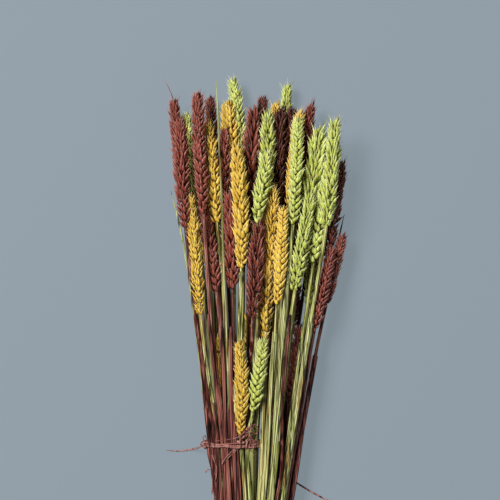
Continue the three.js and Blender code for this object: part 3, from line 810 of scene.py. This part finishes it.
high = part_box("raffia_tie")[1]
tie_y = high[1] - 3 * MM
tied = [line for line in lines.values() if at(line, tie_y)[0][0] < high[0] - 2 * MM]
ring = line_round(tie_y, tied, 1.9 * MM)
rng = np.random.default_rng(41)
shape = Shape()
for tilt, phase, away, half_width in [
    (0.8, 0.3, 0.0, 0.85), (1.7, 1.2, 0.3, 0.8), (2.4, 3.9, 0.5, 0.65), (1.2, 5.0, 0.8, 0.6),
]:
    add_turn(
        shape, ring, tie_y, tilt * MM, phase, half_width * MM, STRAND_THICKNESS, rng, away * MM,
    )
left = ring[np.argmin(ring[:, 0])]
knot = np.array([left[0] - 0.6 * MM, tie_y - 0.6 * MM, left[1] + 1.5 * MM])
add_knot(shape, knot, 3.2 * MM, 1.15 * MM, rng, (-0.5, 0, 0.85))

# The long loose end, which falls to the table, and the small loop beside the knot.
fall = knot[2] - 0.8 * MM
end = [(0, 0, 0), (-2.5, -2, 0.12), (-6, -4.4, 0.6), (-11, -6, 0.93), (-17, -7.4, 1),
       (-24, -8, 1), (-32, -7, 1)]
add_strand(
    shape, [knot + np.array([x * MM, y * MM, -z * fall]) for x, y, z in end], 0.65 * MM,
    STRAND_THICKNESS, rng,
)
loop = [(0, 0, 0), (-0.6, 3, 1), (-1.2, 6.4, 1.5), (0.4, 7.6, 1.5), (1.6, 5, 1.2), (1.4, 1, 0.8)]
add_strand(shape, [knot + np.array(q) * MM for q in loop], 0.5 * MM, 0.25 * MM, rng, taper=0.8)

# Strands over the stems: two that leave the turns and curl up at the right, curls tangled over
# them, one folded back on itself, and short ones that hang from the knot. Then the fine fibres
# that frayed off them.
across_stems = [
    (1.05, [(2, 3, 1.6), (10, 4.2, 1.8), (20, 5, 1.8), (27, 6.6, 1.8), (32, 11, 2.2),
            (36, 16, 3), (41, 17.4, 3.4)]),
    (1.0, [(1, 1, 1.8), (14, 0.6, 2.2), (24, -1, 2.2), (33, -0.4, 2.2), (38.5, 2, 1.6)]),
    (0.9, [(26, 4, 2), (31, 2.6, 2.4), (35, 6, 2.8), (36.5, 11, 3), (34, 15, 3.2)]),
    (1.0, [(28, 4, 2.6), (32, 8.4, 3), (37, 10.6, 3.2), (41.4, 9.8, 3.4), (44, 13, 3.6),
           (41.6, 16.6, 3.8), (37.4, 15, 3.8), (36, 10.4, 4), (37.4, 5, 3.6), (36, 0, 2.8)]),
    (0.9, [(39, -2.4, 2.4), (40.6, 2, 3), (38, 6.6, 3.4), (34.4, 4.6, 3.4), (33.6, -0.4, 3),
           (37, -4, 2.4)]),
    (1.1, [(30, 0.4, 2), (26, -3, 2.4), (20, -8.4, 2.4), (14, -14, 2.4)]),
    (1.05, [(14, -14, 2.5), (16, -10.6, 2.6), (21, -5.6, 2.8), (25, -2, 2.6)]),
    (1.2, [(2.6, -1, 0.6), (3.4, -8, 0.9), (4.6, -15, 0.9), (5.4, -21, 0.5)]),
    (1.5, [(4, -2, 1.6), (8, -9, 1.6), (10.4, -17, 1.4), (9.6, -25, 1.4), (6.8, -33, 1.2),
           (5.6, -40, 0.8)]),
    (1.2, [(9, -20, 1.2), (6.6, -27, 1.2), (6.4, -34, 1.0), (8, -42, 1.0)]),
    (0.5, [(0.4, -24, 0.4), (2, -21.6, 1), (4.4, -20.4, 1.2)]),
]
for half_width, steps in across_stems:
    add_strand(shape, laid(knot, steps), half_width * MM, STRAND_THICKNESS, rng)
for _ in range(FRAYED_FIBRES):
    x, y = rng.uniform(27, 41), rng.uniform(2, 15)
    turn, length = rng.uniform(0, 6.3), rng.uniform(3, 8)
    fibre = [
        (x + length * s * math.cos(turn + 1.6 * s), y + length * s * math.sin(turn + 1.6 * s),
         2 + 2.5 * s)
        for s in (0, 0.3, 0.65, 1)
    ]
    add_strand(shape, laid(knot, fibre), 0.22 * MM, 0.18 * MM, rng)
piece = shape.build("raffia_tie_wound", [brown_raffia])
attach(piece, "root")
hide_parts("raffia_tie")


# ---- Stem binding ----
# Undyed raffia wound six times round all the stems, pulled tight and knotted on top. It is what
# holds the bundle together.

plain_raffia = dyed_straw("plain_raffia", 0x6E5C30, 0xBCA870, 0xE0D2A0, 0x98814C)
BINDING_THICKNESS = 0.4 * MM
TURNS, TURNS_APART = 6, 2 * MM
binding_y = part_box("stem_binding")[1][1] - 6 * MM
ring = line_round(binding_y, list(lines.values()), 0.9 * MM)
rng = np.random.default_rng(43)
shape = Shape()
for turn in range(TURNS):
    add_turn(
        shape, ring, binding_y + (turn - 2.5) * TURNS_APART, rng.uniform(0.2, 0.9) * MM,
        rng.uniform(0, 6), 1.15 * MM, BINDING_THICKNESS, rng, rng.uniform(0, 0.4) * MM,
    )
add_turn(shape, ring, binding_y, 4.6 * MM, 0.8, 1.0 * MM, BINDING_THICKNESS, rng, 0.8 * MM)
crown = ring[np.argmax(ring[:, 1])]
knot = np.array([crown[0], binding_y, crown[1] + 2.0 * MM])
add_knot(shape, knot, 3.4 * MM, 1.3 * MM, rng, (0, 0, 1))
add_knot(shape, knot + np.array([0.8, -0.6, 1.4]) * MM, 2.6 * MM, 1.1 * MM, rng, (0.2, 0, 1))
for side in (-1, 1):
    for spread, reach in ((-1.4, 1.0), (1.0, 0.86)):
        end = [
            (side * 2, 0, 0.4), (side * 9, -2.4, 1.6), (side * 18 * reach, -6 + spread, 1.2),
            (side * 26 * reach, -11 + 2 * spread, 0.4),
            (side * 31 * reach, -16 + 3 * spread, -2),
        ]
        add_strand(
            shape, [knot + np.array(q) * MM for q in end], 1.1 * MM, 0.35 * MM, rng, taper=0.4,
        )
piece = shape.build("stem_binding_wound", [plain_raffia])
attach(piece, "root")
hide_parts("stem_binding")


# ---- Loose straw ----
# A thin broken length of brown straw that came off the bunch. It isn't tied in and lies on the
# table, half under the bundle, bent a little.

SAG = 1.5 * MM
corners = np.array([v.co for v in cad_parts["loose_straw"].data.vertices])
corners = corners[np.argsort(corners[:, 0])]
left, right = corners[:8].mean(axis=0), corners[-8:].mean(axis=0)
rng = np.random.default_rng(47)
shape = Shape()
straw = [
    left + (right - left) * s + np.array([0, -SAG * math.sin(math.pi * s), 0])
    for s in (0, 0.25, 0.5, 0.75, 1)
]
add_strand(shape, straw, 0.75 * MM, 0.6 * MM, rng)
piece = shape.build("loose_straw_broken", [brown_raffia])
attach(piece, "root")
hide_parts("loose_straw")


# ---- Table, light and camera ----
# A plain pale blue-grey table top, a large soft light from the upper left, and a camera that looks
# straight down on the ears and the raffia tie.

light_table, _, paint = principled("light_table")
paint.inputs["Base Color"].default_value = linear(0x464C52)
paint.inputs["Roughness"].default_value = 0.9
paint.inputs["Emission Color"].default_value = linear(0x8E9BA4)
paint.inputs["Emission Strength"].default_value = 0.75  # a light table, so that shadows stay faint
table_mesh = bpy.data.meshes.new("table")
half_side = 8.0
corners = [(across * half_side, along * half_side, 0)
           for across, along in ((-1, -1), (1, -1), (1, 1), (-1, 1))]
table_mesh.from_pydata(corners, [], [(0, 1, 2, 3)])
table_mesh.materials.append(light_table)
table = bpy.data.objects.new("table", table_mesh)
table.location.z = cad_box[0][2] - 0.2 * MM
bpy.context.scene.collection.objects.link(table)


def soft_light(name, towards, way, distance, size, watts):
    """A round soft box that shines on a place from a way, given as a direction towards it."""
    light = bpy.data.lights.new(name, "AREA")
    light.shape = "DISK"
    light.size = size
    light.energy = watts
    lamp = bpy.data.objects.new(name, light)
    way = Vector(way).normalized()
    lamp.location = Vector(towards) + way * distance
    lamp.rotation_euler = way.to_track_quat("Z", "Y").to_euler()
    bpy.context.scene.collection.objects.link(lamp)


ears_top = cad_box[1][1]
aim = Vector((-3.9 * MM, ears_top - 141 * MM, 0))  # between the ears and the tie
soft_light("key", aim, way=(-0.55, 0.4, 0.95), distance=3.0, size=1.3, watts=120)
soft_light("fill", aim, way=(0.5, -1.0, 0.4), distance=3.0, size=2.4, watts=12)

world = bpy.data.worlds.new("studio")
world.use_nodes = True
sky = world.node_tree.nodes["Background"]
sky.inputs["Color"].default_value = linear(0xDDE4EA)
sky.inputs["Strength"].default_value = 0.09
bpy.context.scene.world = world

camera_data = bpy.data.cameras.new("camera")
camera_data.sensor_width = 36
camera_data.lens = 100
camera = bpy.data.objects.new("camera", camera_data)
view_width = 400 * MM
middle_height = 24 * MM
camera.location = (
    aim.x, aim.y, middle_height + view_width * camera_data.lens / camera_data.sensor_width,
)
camera.rotation_euler = (0, 0, 0)
bpy.context.scene.collection.objects.link(camera)
bpy.context.scene.camera = camera
bpy.context.scene.view_settings.view_transform = "Standard"
